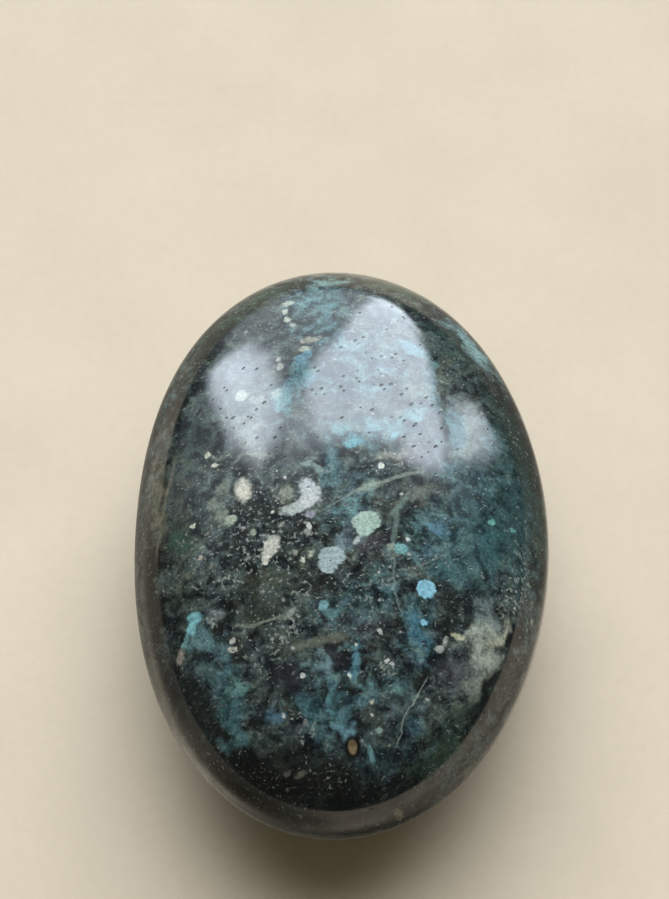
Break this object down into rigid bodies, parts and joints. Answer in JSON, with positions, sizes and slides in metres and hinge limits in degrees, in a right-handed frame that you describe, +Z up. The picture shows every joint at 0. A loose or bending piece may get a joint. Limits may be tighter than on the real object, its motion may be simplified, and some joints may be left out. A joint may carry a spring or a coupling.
{
  "type": "palm stone",
  "caption": "Flattened egg-shaped palm stone of dark blue-green apatite, polished all over, that lies on a small flat on its underside.",
  "frame": {"origin": "middle of the stone's box at the height of its underside, which is the flat that it lies on", "axes": "+Y along the stone's length towards its slightly wider end, +X across its width, +Z up through its thickness"},
  "size_m": [0.0446, 0.0658, 0.024],
  "materials": {
    "polished_apatite": "polished"
  },
  "bodies": {
    "root": {"palm_stone": "polished_apatite"}
  },
  "joints": []
}
